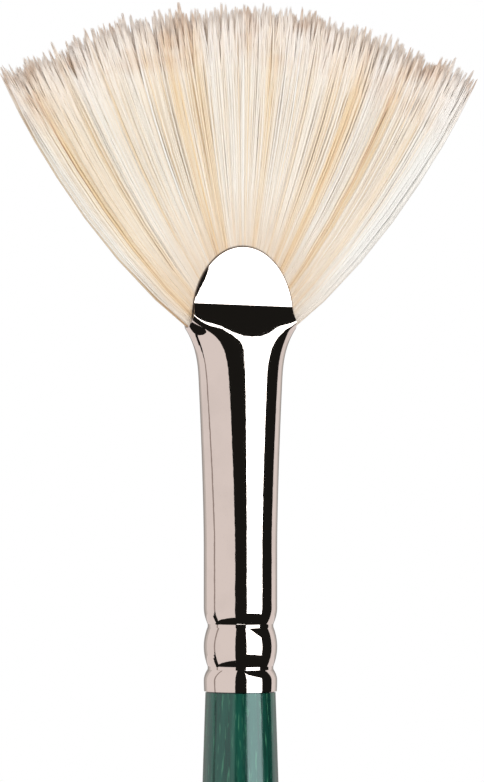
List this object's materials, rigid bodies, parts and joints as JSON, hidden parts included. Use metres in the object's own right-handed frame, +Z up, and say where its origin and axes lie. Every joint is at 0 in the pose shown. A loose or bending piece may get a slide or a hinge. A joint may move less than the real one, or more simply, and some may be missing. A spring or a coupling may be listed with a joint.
{
  "type": "paint brush",
  "caption": "Fan brush with splayed hog bristles in a polished, double-crimped ferrule pressed flat at its mouth, on a long lacquered wooden handle.",
  "frame": {"origin": "bottom centre of the bounding box, at the butt end of the handle on the brush's axis", "axes": "+Z up the brush's axis from the handle to the bristle tips, X across the fan, -Y out of the fan's front face"},
  "size_m": [0.051, 0.009, 0.3228],
  "materials": {
    "handle_lacquer": "deep green clear gloss lacquer over straight-grained wood",
    "ferrule_nickel": "bright polished nickel plate on brass",
    "glue": "hard dried glue",
    "resin": "cast resin round the bristle roots",
    "thread": "waxed cotton thread",
    "bristle": "natural bleached hog bristle, cream to pale brown"
  },
  "bodies": {
    "root": {"handle": "handle_lacquer", "ferrule": "ferrule_nickel", "tenon_glue": "glue", "resin_plug": "resin", "root_binding": "thread", "bristles_front": "bristle", "bristles_middle": "bristle", "bristles_back": "bristle"}
  },
  "joints": []
}
